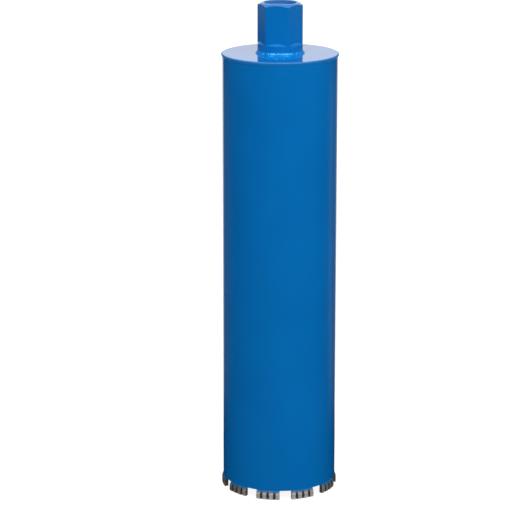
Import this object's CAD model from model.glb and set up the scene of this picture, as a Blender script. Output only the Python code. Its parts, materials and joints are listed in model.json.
from collections import namedtuple
import json
import math

import bpy
from mathutils import Matrix, Vector, noise


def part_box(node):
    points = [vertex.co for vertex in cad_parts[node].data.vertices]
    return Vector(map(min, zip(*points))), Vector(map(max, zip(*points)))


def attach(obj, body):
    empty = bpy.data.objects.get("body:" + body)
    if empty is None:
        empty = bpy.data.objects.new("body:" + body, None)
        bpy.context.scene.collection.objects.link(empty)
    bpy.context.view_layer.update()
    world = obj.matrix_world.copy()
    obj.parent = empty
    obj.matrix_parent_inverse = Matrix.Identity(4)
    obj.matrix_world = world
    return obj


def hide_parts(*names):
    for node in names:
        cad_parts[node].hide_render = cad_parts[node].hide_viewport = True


# A wet diamond core bit that stands on its crown in a white studio. The solids come from the
# frame and stay as they are: this script gives them their finish, adds the hub's thread ridge,
# and puts a bead with a hand weld's swells in place of the plain one. Lengths are in metres.

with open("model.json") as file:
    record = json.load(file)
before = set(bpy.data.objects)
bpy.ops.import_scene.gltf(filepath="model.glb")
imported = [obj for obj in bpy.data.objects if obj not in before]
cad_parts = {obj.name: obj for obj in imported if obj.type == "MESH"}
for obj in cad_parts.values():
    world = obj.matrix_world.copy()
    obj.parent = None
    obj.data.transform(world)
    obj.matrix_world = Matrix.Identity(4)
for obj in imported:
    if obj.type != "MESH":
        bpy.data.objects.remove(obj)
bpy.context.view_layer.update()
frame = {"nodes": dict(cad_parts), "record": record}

MM = 0.001
BODY = "root"

# ---------------------------------------------------------------- camera
# A long lens, a little above the top of the bit and just to the right of a hub flat.
IMAGE_SIDE_PX = 512
FOCAL_PX = 2302.9
SENSOR_MM = 36.0
CAMERA_AZIMUTH = math.radians(10.0)
CAMERA_PITCH = math.radians(14.773)
CAMERA_DISTANCE = 2.2954
CAMERA_HEIGHT = 0.8504
CAMERA_SIDESTEP = -0.02427

# ---------------------------------------------------------------- colours, linear
PAINT_BLUE = (0.0008, 0.146, 0.455)
PAINT_BLUE_DEEP = (0.0006, 0.138, 0.435)
WELD_BLUE = (0.0012, 0.25, 0.72)
MIST_BLUE = (0.001, 0.125, 0.30)
BARE_STEEL = (0.46, 0.45, 0.43)
STEEL_SCALE = (0.16, 0.14, 0.125)
RIB_GREY = (0.64, 0.62, 0.595)
RIB_GREY_DULL = (0.22, 0.21, 0.20)
GROOVE_GREY = (0.07, 0.06, 0.055)
GRIT_DARK = (0.05, 0.045, 0.04)
GRIT_PALE = (0.62, 0.60, 0.52)
STUDIO_WHITE = (1.0, 1.0, 1.0)

# ---------------------------------------------------------------- patterns of noise
# The size of the features, the noise's detail, the noise values where a patch begins and where
# it is full, and the scale of each axis.
Pattern = namedtuple("Pattern", "size detail begins full scale", defaults=[None])
BLUE_DRIFT = Pattern(60 * MM, 2.0, 0.35, 0.70)
GLOSS_DRIFT = Pattern(35 * MM, 4.0, 0.30, 0.75)
DUST = Pattern(0.6 * MM, 2.0, 0.68, 0.80)
MILL_SCALE = Pattern(16 * MM, 6.0, 0.42, 0.62, (1, 1, 0.12))        # drawn out along the barrel
TOOL_MARKS = Pattern(0.5 * MM, 2.0, 0.35, 0.65, (0.05, 0.05, 1))    # fine rings round the bore
GRIT_MOTTLE = Pattern(1.3 * MM, 4.0, 0.3, 0.7)

# ---------------------------------------------------------------- enamel
PEEL_SIZE = 2.4 * MM            # orange peel
PEEL_DEPTH = 0.010 * MM
DUST_DEPTH = 0.012 * MM
PAINT_ROUGHNESS = 0.14          # on the barrel and the hub

CAP_ROUGHNESS = (0.03, 0.06)    # least and most
CAP_BUMP_SHARE = 0.3
CAP_COAT = 0.4
CAP_COAT_ROUGHNESS = 0.04
CAP_EDGE_FROM = 1.3 * MM        # in from the rim: the rougher band round the rounded edge
CAP_EDGE_FULL = 0.9 * MM
CAP_EDGE_ROUGHNESS = 0.45       # added to the rest
CAP_EDGE_NO_COAT = 0.15         # the added roughness at which the coat has faded out
CAP_BEVEL_FROM = 1.2 * MM       # below the cap's top: the paler band under the rounded edge
CAP_BEVEL_FULL = 1.7 * MM

WELD_ROUGHNESS = (0.10, 0.20)
WELD_PATCH = 4 * MM             # patches of thinner enamel on the bead
WELD_METALLIC = 0.2
WELD_SPECULAR = 0.2

# ---------------------------------------------------------------- bare steel, with sprayed edges
BARREL_HALF_WALL = 1 * MM
BARREL_BARE_BLEND = 0.4 * MM    # from the middle of the wall inwards
BARREL_SPRAY_FROM = 34 * MM     # above the barrel's lower end
BARREL_SPRAY_FULL = 10 * MM
BARREL_SPRAY_SPOTS = 9 * MM
BARREL_SPRAY_RAGGED = 20 * MM
BARREL_STEEL_METALLIC = 0.85
BARREL_STEEL_ROUGHNESS = 0.45

HUB_BARE_WITHIN = 0.1 * MM      # out from the bore's wall: fully bare up to here
HUB_BARE_BLEND = 0.6 * MM       # further out: from here on all enamel
HUB_MIST_FROM = 22 * MM         # below the hub's top
HUB_MIST_FULL = 2 * MM
HUB_MIST_SPOTS = 5 * MM
HUB_MIST_RAGGED = 8 * MM
HUB_MIST_COVER = 0.85
HUB_STEEL_METALLIC = 0.9
HUB_STEEL_ROUGHNESS = 0.38

# ---------------------------------------------------------------- segments
SHOULDER_HEIGHT = 4 * MM        # of the slope at a segment's top
GROOVE_FROM = 0.5 * MM          # deeper than this under the outer face a rib's grey fades
GROOVE_FULL = 1.2 * MM
OUTWARD_FROM = 0.5              # cosines between a face's normal and straight out
OUTWARD_FULL = 0.85
POLISHED_SIDE = (0.276, -0.961, 0.0)    # the crown is cleaner on this side and the opposite one
POLISH_FROM = 0.2               # squared cosines between straight out and that side
POLISH_FULL = 0.85
MOTTLE_SHARE = 0.45
GRIT_SIZE = 0.9 * MM
GRIT_FROM = 0.24                # distances from a grain's middle, as shares of the grit's size
GRIT_FULL = 0.16
GRIT_SHARE = 0.55
GRIT_HEIGHT = 0.08 * MM
PITS_SIZE = 0.7 * MM
PITS_DEPTH = 0.10 * MM
SOOT_FROM = 5 * MM              # below a segment's top
SOOT_FULL = 1.5 * MM
SOOT_SHARE = 0.55
MIST_FROM = 2.2 * MM            # below a segment's top
MIST_FULL = 1.6 * MM            # above it, to allow for the ragged edge
MIST_SPOTS = 3 * MM
MIST_RAGGED = 3 * MM
BOND_METALLIC = 0.60
BOND_SPECULAR = 0.25
BOND_ROUGHNESS = (0.54, 0.70)

# ---------------------------------------------------------------- the hub's thread
THREAD_PITCH = 25.4 / 7 * MM
THREAD_FLANK = math.radians(30)
THREAD_ROOT_FLAT = THREAD_PITCH / 8
THREAD_CREST_FLAT = THREAD_PITCH / 4
THREAD_MOUTH = 0.9 * MM         # the chamfer above the thread
THREAD_STEPS = 96               # a turn
THREAD_RUN_OUT = 0.35           # turns over which each end of the ridge rises to full height
THREAD_LEAST_RISE = 0.02        # share of its height that the ridge keeps at its very ends
THREAD_SEAT = 0.03 * MM         # how far the ridge's foot is sunk into the bore's wall

# ---------------------------------------------------------------- the weld
WELD_STEPS = 360
WELD_PROFILE_STEPS = 14
WELD_LUMPS = 21                 # swells of the bead, one for each stop of the torch
WELD_RIPPLES = 63
WELD_HOLLOW = 0.78 * MM         # how far its face dips below straight between the swells
WELD_SWELL = 0.72 * MM
WELD_RIPPLE = 0.07 * MM
WELD_FULLNESS = 0.8             # under 1, the swells stay high towards the bead's two edges
WELD_NOTCH = 0.45               # the sine of a swell's curve at which the notch beside it ends
WELD_NOTCH_SHARE = 0.7          # how much of a swell's height its notches take; the rest is round
WELD_TURN = math.radians(4.2)   # brings one swell to the front
WELD_DRIFT = 0.04               # how unevenly the swells follow each other, in radians
WELD_DRIFT_SCALE = 2.1

# ---------------------------------------------------------------- world and floor
WORLD_STRENGTH = 0.32
ROOM_GLOW = 0.25                # the dim room, as reflections show it
PAPER_FRONT_EDGE = 0.25         # cosine on either side of upright where the white paper fades
PAPER_SIDE_FULL = 0.30          # cosines from straight aside between which it fades there
PAPER_SIDE_ENDS = 0.50
FLOOR_GREY = 0.15
FLOOR_GLOW_NEAR = 0.91
FLOOR_GLOW_FAR = 1.0
FLOOR_NEAR = 0.3                # distances from the axis between which the floor's glow rises
FLOOR_FAR = 1.6
FLOOR_HALF_WIDTH = 12

# ---------------------------------------------------------------- dark cloth
CLOTH_HEIGHT = 0.5 * MM
CLOTH_HOLE_RADIUS = 61 * MM
CLOTH_RADIUS = 8.0
CLOTH_STEPS = 96
CLOTH_GREY = 0.006              # what the cloth shows in a reflection
SIDES_GREY = 0.07               # how much paler it grows round the sides
SIDES_FROM = math.radians(92)
SIDES_FULL = math.radians(126)
STRIP_GREY = 0.08
STRIP_FROM = math.radians(116)  # the paler strip, to the right of the camera
STRIP_TO = math.radians(128)
PALE_NEAR = (0.15, 0.50)        # distances over which both grow pale, and fade again
PALE_FAR = (2.6, 2.2)
FAR_EDGE = 3.1                  # where the far cloth begins
FAR_EDGE_SOFT = 0.05
FAR_GREY = 0.21                 # of the far cloth at the sides
FAR_PALE_FROM = math.radians(60)    # in front of this the far cloth is as dark as the near
GAP_FROM = math.radians(154)    # the bare floor behind the bit
SOFT_EDGE = math.radians(2)

# ---------------------------------------------------------------- lamps
LAMP_DISTANCE = 2.6
AIM_HEIGHT = 0.25
KEY_HEIGHT = 2.85
KEY_SIZE = (3.8, 1.8)
KEY_WATTS = 124.0
WING_SIDE = 50                  # degrees to either side of the key
WING_SIZE = (1.4, 1.8)
WING_WATTS = 46.0
SIDE_LAMP_SIZE = (1.8, 1.8)
SIDE_LAMPS = (                  # name, degrees to the right of the camera, height, watts
    ("right", 60, 2.85, 54.0),
    ("left", -90, 2.85, 27.0),
    ("back", 180, 0.90, 38.0),
)


# ---------------------------------------------------------------- sizes read from the frame
def hub_thread_size():
    """The bore's radius and the thread's length."""
    mount = next(m for m in frame["record"]["mounts"] if m["name"] == "hub_thread")
    return mount["dims"]["r_mm"] * MM, mount["dims"]["length_mm"] * MM


def crown_radius():
    """The crown's outer radius: how far the segments' corners lie from the axis."""
    points = frame["nodes"]["segment_01"].data.vertices
    return max(math.hypot(p.co.x, p.co.y) for p in points)


# ---------------------------------------------------------------- node helpers
def new_material(name):
    material = bpy.data.materials.new(name)
    material.use_nodes = True
    return material, material.node_tree, material.node_tree.nodes["Principled BSDF"]


def feed(tree, socket, value):
    """Links a socket to the input, or writes a plain number, vector or colour on it."""
    if isinstance(value, bpy.types.NodeSocket):
        tree.links.new(value, socket)
    elif socket.type == "RGBA" and len(value) == 3:
        socket.default_value = (*value, 1.0)
    else:
        socket.default_value = value


def add(tree, kind, inputs=None, **settings):
    node = tree.nodes.new(kind)
    for name, value in settings.items():
        setattr(node, name, value)
    for name, value in (inputs or {}).items():
        feed(tree, node.inputs[name], value)
    return node


def maths(tree, operation, first, second=0.0, third=0.0):
    node = add(tree, "ShaderNodeMath", operation=operation)
    for socket, value in zip(node.inputs, (first, second, third)):
        feed(tree, socket, value)
    return node.outputs[0]


def product(tree, first, second):
    return maths(tree, "MULTIPLY", first, second)


def rest_of(tree, share):
    """What the share leaves of 1."""
    return maths(tree, "SUBTRACT", 1.0, share)


def ramp(tree, value, low, high, start=0.0, end=1.0):
    """Smooth step from start at low to end at high."""
    node = add(
        tree, "ShaderNodeMapRange",
        {"Value": value, "From Min": low, "From Max": high, "To Min": start, "To Max": end},
        interpolation_type="SMOOTHSTEP",
    )
    return node.outputs["Result"]


def crossfade(tree, share, first, second):
    """The first number where share is 0, the second where it is 1."""
    return maths(tree, "MULTIPLY_ADD", share, maths(tree, "SUBTRACT", second, first), first)


def blend(tree, share, first, second):
    """The first colour where share is 0, the second where it is 1."""
    node = add(tree, "ShaderNodeMix", data_type="RGBA")
    for name, value in (("Factor_Float", share), ("A_Color", first), ("B_Color", second)):
        feed(tree, next(s for s in node.inputs if s.identifier == name), value)
    return next(s for s in node.outputs if s.identifier == "Result_Color")


def vector_maths(tree, operation, *operands):
    return add(tree, "ShaderNodeVectorMath", dict(enumerate(operands)), operation=operation).outputs


def dot(tree, first, second):
    return vector_maths(tree, "DOT_PRODUCT", first, second)["Value"]


def place(tree):
    """The point in the part's own frame, in metres: every piece's object sits at the origin."""
    return add(tree, "ShaderNodeTexCoord").outputs["Object"]


def from_axis(tree):
    """The level vector from the axis to the point."""
    return vector_maths(tree, "MULTIPLY", place(tree), (1, 1, 0))["Vector"]


def height_and_radius(tree):
    height = add(tree, "ShaderNodeSeparateXYZ", {"Vector": place(tree)}).outputs["Z"]
    return height, vector_maths(tree, "LENGTH", from_axis(tree))["Value"]


def outward(tree):
    """The level direction away from the axis."""
    return vector_maths(tree, "NORMALIZE", from_axis(tree))["Vector"]


def faces_outward(tree):
    """1 on faces that look away from the axis; 0 on those that look along it or round it."""
    normal = add(tree, "ShaderNodeNewGeometry").outputs["True Normal"]
    return ramp(tree, dot(tree, outward(tree), normal), OUTWARD_FROM, OUTWARD_FULL)


def speckle(tree, size, detail=3.0, scale=None):
    """Noise from 0 to 1 whose features are about that size."""
    point = place(tree)
    if scale:
        point = add(tree, "ShaderNodeMapping", {"Vector": point, "Scale": scale}).outputs[0]
    node = add(tree, "ShaderNodeTexNoise", {"Vector": point, "Scale": 1 / size, "Detail": detail})
    return node.outputs["Fac"]


def patches(tree, pattern, start=0.0, end=1.0):
    """The pattern's soft-edged patches: start between them, end inside."""
    value = speckle(tree, pattern.size, pattern.detail, pattern.scale)
    return ramp(tree, value, pattern.begins, pattern.full, start, end)


def grains(tree, size):
    """Distance to the nearest grain's middle, as a share of the grains' size."""
    node = add(tree, "ShaderNodeTexVoronoi", {"Vector": place(tree), "Scale": 1 / size})
    return node.outputs["Distance"]


def ragged(tree, height, spots, reach):
    """The height, raised by up to that reach in spots of that size."""
    return maths(tree, "MULTIPLY_ADD", speckle(tree, spots), reach, height)


def bump(tree, height, depth, normal=None):
    inputs = {"Height": height, "Distance": depth, "Strength": 1.0}
    if normal is not None:
        inputs["Normal"] = normal
    return add(tree, "ShaderNodeBump", inputs).outputs["Normal"]


# ---------------------------------------------------------------- materials
def paint_colour(tree):
    """Enamel: two close blues that drift over centimetres."""
    return blend(tree, patches(tree, BLUE_DRIFT), PAINT_BLUE, PAINT_BLUE_DEEP)


def paint_bump(tree, share=1.0):
    """Orange peel, and a little dust under the gloss."""
    peel = bump(tree, speckle(tree, PEEL_SIZE, detail=1.0), share * PEEL_DEPTH)
    return bump(tree, patches(tree, DUST), share * DUST_DEPTH, peel)


def paint_over_steel(tree, shader, bare, steel, metallic, roughness):
    """Gloss enamel where bare is 0, and where it is 1 steel of that colour and finish."""
    feed(tree, shader.inputs["Base Color"], blend(tree, bare, paint_colour(tree), steel))
    feed(tree, shader.inputs["Metallic"], product(tree, bare, metallic))
    feed(tree, shader.inputs["Roughness"], ramp(tree, bare, 0.0, 1.0, PAINT_ROUGHNESS, roughness))
    feed(tree, shader.inputs["Normal"], paint_bump(tree))


def barrel_material():
    """Gloss enamel outside; rolled steel with mill scale inside, sprayed over near the mouth."""
    material, tree, shader = new_material("barrel_enamel")
    height, radius = height_and_radius(tree)
    low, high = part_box("barrel_tube")
    wall_middle = high.x - BARREL_HALF_WALL
    inside = ramp(tree, radius, wall_middle, wall_middle - BARREL_BARE_BLEND)
    edge = ragged(tree, height, BARREL_SPRAY_SPOTS, BARREL_SPRAY_RAGGED)
    sprayed = ramp(tree, edge, low.z + BARREL_SPRAY_FROM, low.z + BARREL_SPRAY_FULL)
    bare = product(tree, inside, rest_of(tree, sprayed))
    steel = blend(tree, patches(tree, MILL_SCALE), BARE_STEEL, STEEL_SCALE)
    paint_over_steel(tree, shader, bare, steel, BARREL_STEEL_METALLIC, BARREL_STEEL_ROUGHNESS)
    return material


def hub_material():
    """Gloss enamel; the thread and the waterway have only a thin mist of it over cut steel."""
    material, tree, shader = new_material("hub_enamel")
    height, radius = height_and_radius(tree)
    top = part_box("threaded_hub")[1].z
    wall = hub_thread_size()[0] + HUB_BARE_WITHIN
    inside = ramp(tree, radius, wall + HUB_BARE_BLEND, wall)
    edge = ragged(tree, height, HUB_MIST_SPOTS, HUB_MIST_RAGGED)
    mist = ramp(tree, edge, top - HUB_MIST_FROM, top - HUB_MIST_FULL)
    bare = product(tree, inside, rest_of(tree, product(tree, mist, HUB_MIST_COVER)))
    steel = blend(tree, patches(tree, TOOL_MARKS), BARE_STEEL, STEEL_SCALE)
    paint_over_steel(tree, shader, bare, steel, HUB_STEEL_METALLIC, HUB_STEEL_ROUGHNESS)
    return material


def cap_material():
    """Enamel that has flowed out level on the flat top, with a wetter gloss than on the barrel."""
    material, tree, shader = new_material("cap_enamel")
    height, radius = height_and_radius(tree)
    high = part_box("end_cap")[1]
    edge = ramp(tree, radius, high.x - CAP_EDGE_FROM, high.x - CAP_EDGE_FULL, 0.0, CAP_EDGE_ROUGHNESS)
    bevel = ramp(tree, height, high.z - CAP_BEVEL_FROM, high.z - CAP_BEVEL_FULL)
    gloss = patches(tree, GLOSS_DRIFT, *CAP_ROUGHNESS)
    coat = ramp(tree, edge, 0.0, CAP_EDGE_NO_COAT, CAP_COAT, 0.0)
    feed(tree, shader.inputs["Base Color"], blend(tree, bevel, paint_colour(tree), WELD_BLUE))
    feed(tree, shader.inputs["Roughness"], maths(tree, "ADD", gloss, edge))
    feed(tree, shader.inputs["Normal"], paint_bump(tree, CAP_BUMP_SHARE))
    feed(tree, shader.inputs["Coat Weight"], coat)
    shader.inputs["Coat Roughness"].default_value = CAP_COAT_ROUGHNESS
    return material


def weld_material():
    """Enamel over the bead, thin enough in patches for the metal to shine through."""
    material, tree, shader = new_material("weld_enamel")
    colour = blend(tree, speckle(tree, WELD_PATCH), PAINT_BLUE, WELD_BLUE)
    feed(tree, shader.inputs["Base Color"], colour)
    shader.inputs["Metallic"].default_value = WELD_METALLIC
    shader.inputs["Specular IOR Level"].default_value = WELD_SPECULAR
    feed(tree, shader.inputs["Roughness"], patches(tree, GLOSS_DRIFT, *WELD_ROUGHNESS))
    feed(tree, shader.inputs["Normal"], paint_bump(tree))
    return material


def ribs(tree, height, radius, top):
    """1 on the segments' outer faces; 0 in their grooves, on their ends and inside."""
    crown = crown_radius()
    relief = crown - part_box("barrel_tube")[1].x
    shoulder = ramp(tree, height, top - SHOULDER_HEIGHT, top, 0.0, relief)
    depth = maths(tree, "SUBTRACT", maths(tree, "SUBTRACT", crown, shoulder), radius)
    return product(tree, ramp(tree, depth, GROOVE_FULL, GROOVE_FROM), faces_outward(tree))


def segment_material():
    """Sintered bond: gritty ribs, dark grooves and ends, and sooty tops misted with enamel."""
    material, tree, shader = new_material("segment_bond")
    height, radius = height_and_radius(tree)
    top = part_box("segment_01")[1].z
    towards = maths(tree, "POWER", dot(tree, outward(tree), POLISHED_SIDE), 2.0)
    rib_colour = blend(tree, ramp(tree, towards, POLISH_FROM, POLISH_FULL), RIB_GREY_DULL, RIB_GREY)
    mottle = patches(tree, GRIT_MOTTLE)
    grit = ramp(tree, grains(tree, GRIT_SIZE), GRIT_FROM, GRIT_FULL)
    soot = ramp(tree, height, top - SOOT_FROM, top - SOOT_FULL, 0.0, SOOT_SHARE)
    edge = ragged(tree, height, MIST_SPOTS, MIST_RAGGED)
    mist = ramp(tree, edge, top - MIST_FROM, top + MIST_FULL)
    colour = blend(tree, ribs(tree, height, radius, top), GROOVE_GREY, rib_colour)
    colour = blend(tree, product(tree, mottle, MOTTLE_SHARE), colour, GRIT_DARK)
    colour = blend(tree, product(tree, grit, GRIT_SHARE), colour, GRIT_PALE)
    colour = blend(tree, soot, colour, GRIT_DARK)
    feed(tree, shader.inputs["Base Color"], blend(tree, mist, colour, MIST_BLUE))
    feed(tree, shader.inputs["Metallic"], ramp(tree, mist, 0.0, 1.0, BOND_METALLIC, 0.0))
    shader.inputs["Specular IOR Level"].default_value = BOND_SPECULAR
    feed(tree, shader.inputs["Roughness"], ramp(tree, mottle, 0.0, 1.0, *BOND_ROUGHNESS))
    pits = bump(tree, speckle(tree, PITS_SIZE, detail=5.0), PITS_DEPTH)
    feed(tree, shader.inputs["Normal"], bump(tree, grit, GRIT_HEIGHT, pits))
    return material


# ---------------------------------------------------------------- pieces
def mesh_object(name, points, faces, smooth):
    mesh = bpy.data.meshes.new(name)
    mesh.from_pydata(points, [], faces)
    mesh.update()
    for polygon in mesh.polygons:
        polygon.use_smooth = smooth
    piece = bpy.data.objects.new(name, mesh)
    bpy.context.scene.collection.objects.link(piece)
    return piece


def make_thread():
    """The right-hand female thread: one ridge that winds up the hub's bore."""
    bore, length = hub_thread_size()
    foot_radius = bore + THREAD_SEAT
    depth = (THREAD_PITCH - THREAD_ROOT_FLAT - THREAD_CREST_FLAT) / 2 / math.tan(THREAD_FLANK)
    foot_half = (THREAD_PITCH - THREAD_ROOT_FLAT) / 2
    crest_half = THREAD_CREST_FLAT / 2
    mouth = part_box("threaded_hub")[1].z - THREAD_MOUTH
    bottom = mouth - length + foot_half
    top = mouth - foot_half
    count = int((top - bottom) / THREAD_PITCH * THREAD_STEPS)
    points, faces = [], []
    for step in range(count + 1):
        turns = step / THREAD_STEPS
        turns_left = (count - step) / THREAD_STEPS
        rise = max(THREAD_LEAST_RISE, min(1.0, turns / THREAD_RUN_OUT, turns_left / THREAD_RUN_OUT))
        angle = turns * 2 * math.pi
        middle = bottom + turns * THREAD_PITCH
        foot = crest_half + (foot_half - crest_half) * rise
        for radius, half in ((foot_radius, foot), (foot_radius - rise * depth, crest_half)):
            for height in (middle - half, middle + half):
                points.append((radius * math.cos(angle), radius * math.sin(angle), height))
    for step in range(count):
        here, ahead = 4 * step, 4 * (step + 1)
        for first, second in ((0, 1), (1, 3), (3, 2), (2, 0)):
            faces.append((here + first, here + second, ahead + second, ahead + first))
    last = 4 * count
    faces += [(0, 2, 3, 1), (last, last + 1, last + 3, last + 2)]
    return mesh_object("hub_thread_ridge", points, faces, smooth=False)


def weld_rise(angle):
    """How far the bead's swells and ripples stand up at that angle round the axis."""
    drift = noise.noise(Vector((math.cos(angle), math.sin(angle), 0)) * WELD_DRIFT_SCALE)
    turn = angle + WELD_TURN + WELD_DRIFT * drift
    crest = abs(math.sin(WELD_LUMPS / 2 * turn))
    notched = math.sin(math.pi / 2 * min(1.0, crest / WELD_NOTCH))
    swell = WELD_SWELL * (crest + (notched - crest) * WELD_NOTCH_SHARE)
    return swell + WELD_RIPPLE * abs(math.sin(WELD_RIPPLES / 2 * turn))


def make_weld():
    """The fillet bead round the hub's foot, with the swells and ripples of a hand weld."""
    low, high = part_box("hub_weld")
    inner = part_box("threaded_hub")[1].x
    foot, head = Vector((high.x, low.z)), Vector((inner, high.z))
    straight_out = Vector((high.z - low.z, high.x - inner)).normalized()
    points, faces = [], []
    for step in range(WELD_STEPS):
        angle = step / WELD_STEPS * 2 * math.pi
        across, along = math.cos(angle), math.sin(angle)
        rise = weld_rise(angle)
        for index in range(WELD_PROFILE_STEPS + 1):
            share = index / WELD_PROFILE_STEPS
            arch = math.sin(math.pi * share)
            proud = rise * arch ** WELD_FULLNESS - WELD_HOLLOW * arch
            radius, height = foot.lerp(head, share) + straight_out * proud
            points.append((across * radius, along * radius, height))
        points.append((across * inner, along * inner, low.z))
    ring = WELD_PROFILE_STEPS + 2
    for step in range(WELD_STEPS):
        here, ahead = step * ring, (step + 1) % WELD_STEPS * ring
        for index in range(ring):
            after = (index + 1) % ring
            faces.append((here + index, ahead + index, ahead + after, here + after))
    return mesh_object("hub_weld_bead", points, faces, smooth=True)


# ---------------------------------------------------------------- studio
def make_camera():
    turn = Matrix.Rotation(CAMERA_AZIMUTH, 4, "Z")
    camera = bpy.data.objects.new("camera", bpy.data.cameras.new("camera"))
    camera.data.sensor_width = SENSOR_MM
    camera.data.lens = FOCAL_PX / IMAGE_SIDE_PX * SENSOR_MM
    camera.location = turn @ Vector((CAMERA_SIDESTEP, -CAMERA_DISTANCE, CAMERA_HEIGHT))
    camera.rotation_euler = (math.pi / 2 - CAMERA_PITCH, 0, CAMERA_AZIMUTH)
    bpy.context.scene.collection.objects.link(camera)
    bpy.context.scene.camera = camera


def studio_point(side, distance, height):
    """A place by its angle to the right of the camera, its distance from the axis and height."""
    angle = CAMERA_AZIMUTH + math.radians(side)
    return Vector((distance * math.sin(angle), -distance * math.cos(angle), height))


def seen_directly(tree):
    """1 for what the camera sees, also in a reflection or through glass; 0 for light itself."""
    path = add(tree, "ShaderNodeLightPath").outputs
    share = maths(tree, "MAXIMUM", path["Is Camera Ray"], path["Is Glossy Ray"])
    return maths(tree, "MAXIMUM", share, path["Is Transmission Ray"])


def make_world():
    """White to the camera; in reflections a white paper behind and above the bit, in a dim room."""
    world = bpy.data.worlds.new("studio")
    world.use_nodes = True
    tree = world.node_tree
    way = add(tree, "ShaderNodeTexCoord").outputs["Generated"]
    back = dot(tree, way, studio_point(180, 1, 0))
    aside = maths(tree, "ABSOLUTE", dot(tree, way, studio_point(90, 1, 0)))
    behind = ramp(tree, back, -PAPER_FRONT_EDGE, PAPER_FRONT_EDGE, ROOM_GLOW, 1.0)
    paper = product(tree, behind, ramp(tree, aside, PAPER_SIDE_FULL, PAPER_SIDE_ENDS, 1.0, ROOM_GLOW))
    mirrored = add(tree, "ShaderNodeLightPath").outputs["Is Glossy Ray"]
    seen = crossfade(tree, mirrored, 1.0, paper)
    dim = add(tree, "ShaderNodeBackground", {"Color": STUDIO_WHITE, "Strength": WORLD_STRENGTH})
    white = add(tree, "ShaderNodeBackground", {"Color": STUDIO_WHITE, "Strength": seen})
    mixed = add(tree, "ShaderNodeMixShader", {"Fac": seen_directly(tree)})
    feed(tree, mixed.inputs[1], dim.outputs[0])
    feed(tree, mixed.inputs[2], white.outputs[0])
    feed(tree, tree.nodes["World Output"].inputs["Surface"], mixed.outputs[0])
    bpy.context.scene.world = world


def flat_sheet(name, corners, height, material):
    mesh = bpy.data.meshes.new(name)
    mesh.from_pydata([(x, y, height) for x, y in corners], [], [range(len(corners))])
    sheet = bpy.data.objects.new(name, mesh)
    sheet.data.materials.append(material)
    bpy.context.scene.collection.objects.link(sheet)
    return sheet


def make_floor():
    """A plain pale floor that shows as white and keeps the bit's soft shadow."""
    material, tree, shader = new_material("floor")
    tree.nodes.remove(shader)
    distance = height_and_radius(tree)[1]
    white = ramp(tree, distance, FLOOR_NEAR, FLOOR_FAR, FLOOR_GLOW_NEAR, FLOOR_GLOW_FAR)
    strength = product(tree, seen_directly(tree), white)
    diffuse = add(tree, "ShaderNodeBsdfDiffuse", {"Color": (FLOOR_GREY, FLOOR_GREY, FLOOR_GREY)})
    glow = add(tree, "ShaderNodeEmission", {"Color": STUDIO_WHITE, "Strength": strength})
    total = add(tree, "ShaderNodeAddShader")
    feed(tree, total.inputs[0], diffuse.outputs[0])
    feed(tree, total.inputs[1], glow.outputs[0])
    feed(tree, tree.nodes["Material Output"].inputs["Surface"], total.outputs[0])
    side = FLOOR_HALF_WIDTH
    flat_sheet("floor", [(-side, -side), (side, -side), (side, side), (-side, side)], 0.0, material)


def cloth_grey(tree):
    """What the cloth shows: nearly black in front, paler round the sides, white in the gap behind."""
    x, y, _ = add(tree, "ShaderNodeSeparateXYZ", {"Vector": place(tree)}).outputs
    distance = height_and_radius(tree)[1]
    turn = maths(tree, "ARCTAN2", x, product(tree, y, -1.0))
    side = maths(tree, "WRAP", maths(tree, "SUBTRACT", turn, CAMERA_AZIMUTH), math.pi, -math.pi)
    aside = maths(tree, "ABSOLUTE", side)
    strip = product(tree, ramp(tree, side, STRIP_FROM - SOFT_EDGE, STRIP_FROM + SOFT_EDGE),
                    ramp(tree, side, STRIP_TO + SOFT_EDGE, STRIP_TO - SOFT_EDGE))
    sides = product(tree, ramp(tree, aside, SIDES_FROM, SIDES_FULL), SIDES_GREY)
    pale = maths(tree, "MULTIPLY_ADD", strip, STRIP_GREY, sides)
    middling = product(tree, ramp(tree, distance, *PALE_NEAR), ramp(tree, distance, *PALE_FAR))
    near = maths(tree, "MULTIPLY_ADD", middling, pale, CLOTH_GREY)
    far = ramp(tree, aside, FAR_PALE_FROM - SOFT_EDGE, FAR_PALE_FROM + SOFT_EDGE, CLOTH_GREY, FAR_GREY)
    beyond = ramp(tree, distance, FAR_EDGE - FAR_EDGE_SOFT, FAR_EDGE + FAR_EDGE_SOFT)
    gap = ramp(tree, aside, GAP_FROM - 2 * SOFT_EDGE, GAP_FROM + 2 * SOFT_EDGE)
    return crossfade(tree, gap, crossfade(tree, beyond, near, far), 1.0)


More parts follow.
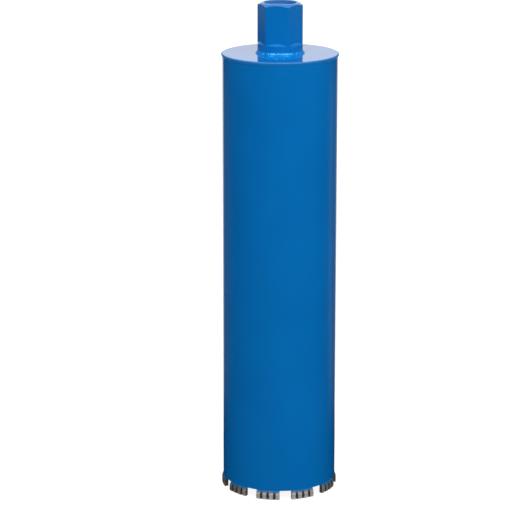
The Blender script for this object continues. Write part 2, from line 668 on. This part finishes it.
def make_dark_cloth():
    """Dark cloth round the bit, met only by reflections, with a white gap left behind the bit."""
    material, tree, shader = new_material("cloth")
    tree.nodes.remove(shader)
    glow = add(tree, "ShaderNodeEmission", {"Color": STUDIO_WHITE, "Strength": cloth_grey(tree)})
    feed(tree, tree.nodes["Material Output"].inputs["Surface"], glow.outputs[0])
    sides = [360 * step / CLOTH_STEPS for step in range(CLOTH_STEPS + 1)]
    corners = [studio_point(side, CLOTH_HOLE_RADIUS, 0).xy for side in sides]
    corners += [studio_point(side, CLOTH_RADIUS, 0).xy for side in reversed(sides)]
    cloth = flat_sheet("cloth", corners, CLOTH_HEIGHT, material)
    cloth.visible_camera = False
    cloth.visible_diffuse = False
    cloth.visible_shadow = False


def softbox(name, side, height, size, power):
    """A lamp that far round from the camera and that high, turned towards the bit."""
    light = bpy.data.lights.new(name, "AREA")
    light.shape = "RECTANGLE"
    light.size, light.size_y = size
    light.energy = power
    lamp = bpy.data.objects.new(name, light)
    lamp.location = studio_point(side, LAMP_DISTANCE, height)
    aim = Vector((0, 0, AIM_HEIGHT))
    lamp.rotation_euler = (aim - lamp.location).to_track_quat("-Z", "Y").to_euler()
    bpy.context.scene.collection.objects.link(lamp)
    return lamp


def make_lights():
    """A broad key over the camera, wings that only widen its glints, and lamps that show no glare."""
    softbox("key", 0, KEY_HEIGHT, KEY_SIZE, KEY_WATTS)
    for name, side in (("key_right", WING_SIDE), ("key_left", -WING_SIDE)):
        wing = softbox(name, side, KEY_HEIGHT, WING_SIZE, WING_WATTS)
        wing.visible_diffuse = False
    for name, side, height, watts in SIDE_LAMPS:
        lamp = softbox(name, side, height, SIDE_LAMP_SIZE, watts)
        lamp.visible_glossy = False
        lamp.visible_camera = False


# ---------------------------------------------------------------- assemble
make_camera()
make_world()
make_floor()
make_dark_cloth()
make_lights()

hub_enamel = hub_material()
finishes = {
    "barrel_tube": barrel_material(),
    "end_cap": cap_material(),
    "threaded_hub": hub_enamel,
}
segment_bond = segment_material()
for name, node in frame["nodes"].items():
    if name == "hub_weld":
        continue
    node.data.materials.clear()
    node.data.materials.append(finishes.get(name, segment_bond))

thread = make_thread()
thread.data.materials.append(hub_enamel)
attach(thread, BODY)

weld = make_weld()
weld.data.materials.append(weld_material())
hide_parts("hub_weld")
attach(weld, BODY)

bpy.context.scene.view_settings.view_transform = "Standard"
